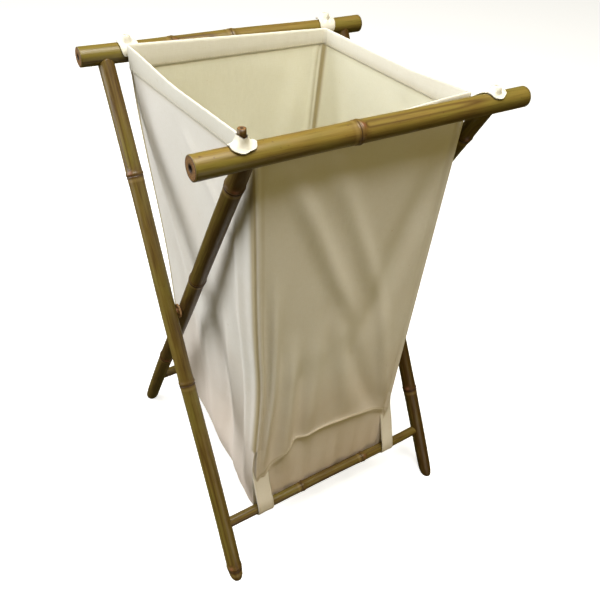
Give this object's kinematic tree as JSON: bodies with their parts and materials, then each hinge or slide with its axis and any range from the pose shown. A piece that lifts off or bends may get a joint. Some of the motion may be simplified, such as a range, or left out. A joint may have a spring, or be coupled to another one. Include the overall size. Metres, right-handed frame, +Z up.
{
  "type": "folding laundry hamper",
  "caption": "Folding X-frame laundry hamper: bamboo poles turn on side pivots, and a canvas bag hangs from pegs on the two rails and is strapped to the low crossbars.",
  "frame": {"origin": "on the floor, at the centre of the four feet", "axes": "+Z up; +X along the rails to the right; +Y to the rear. The front rail is at -Y."},
  "size_m": [0.426, 0.412, 0.679],
  "materials": {
    "bamboo": "lacquered bamboo culm with raised nodes",
    "hardwood_dowel": "oiled hardwood",
    "washer_wood": "dark stained wood",
    "steel_brads": "dull dark steel",
    "canvas": "unbleached plain-weave cotton canvas"
  },
  "bodies": {
    "outer_frame": {"outer_leg_left": "bamboo", "outer_leg_right": "bamboo", "rear_rail": "bamboo", "front_crossbar": "bamboo", "rear_rail_dowel_left": "hardwood_dowel", "rear_rail_dowel_right": "hardwood_dowel", "rear_peg_left": "hardwood_dowel", "rear_peg_right": "hardwood_dowel", "rear_peg_brads": "steel_brads", "rear_tab_left": "canvas", "rear_tab_right": "canvas", "front_strap_left": "canvas", "front_strap_right": "canvas", "bag_front_panel": "canvas", "bag_rear_panel": "canvas", "bag_left_panel": "canvas", "bag_right_panel": "canvas", "bag_floor": "canvas", "bag_front_hem": "canvas", "bag_rear_hem": "canvas", "bag_left_hem": "canvas", "bag_right_hem": "canvas"},
    "inner_frame": {"inner_leg_left": "bamboo", "inner_leg_right": "bamboo", "front_rail": "bamboo", "rear_crossbar": "bamboo", "pivot_pin_left": "hardwood_dowel", "pivot_pin_right": "hardwood_dowel", "pivot_washer_left": "washer_wood", "pivot_washer_right": "washer_wood", "front_rail_dowel_left": "hardwood_dowel", "front_rail_dowel_right": "hardwood_dowel", "front_peg_left": "hardwood_dowel", "front_peg_right": "hardwood_dowel", "front_peg_brads": "steel_brads", "front_tab_left": "canvas", "front_tab_right": "canvas", "rear_strap_left": "canvas", "rear_strap_right": "canvas"}
  },
  "joints": [
    {"name": "frame_fold", "type": "hinge", "parent": "outer_frame", "child": "inner_frame", "pos_m": [0, 0, 0.35125], "axis": [-1, 0, 0], "range_deg": [0, 50], "deforming": ["bag_front_panel", "bag_rear_panel", "bag_left_panel", "bag_right_panel", "bag_floor", "bag_front_hem", "bag_rear_hem", "bag_left_hem", "bag_right_hem"]}
  ]
}
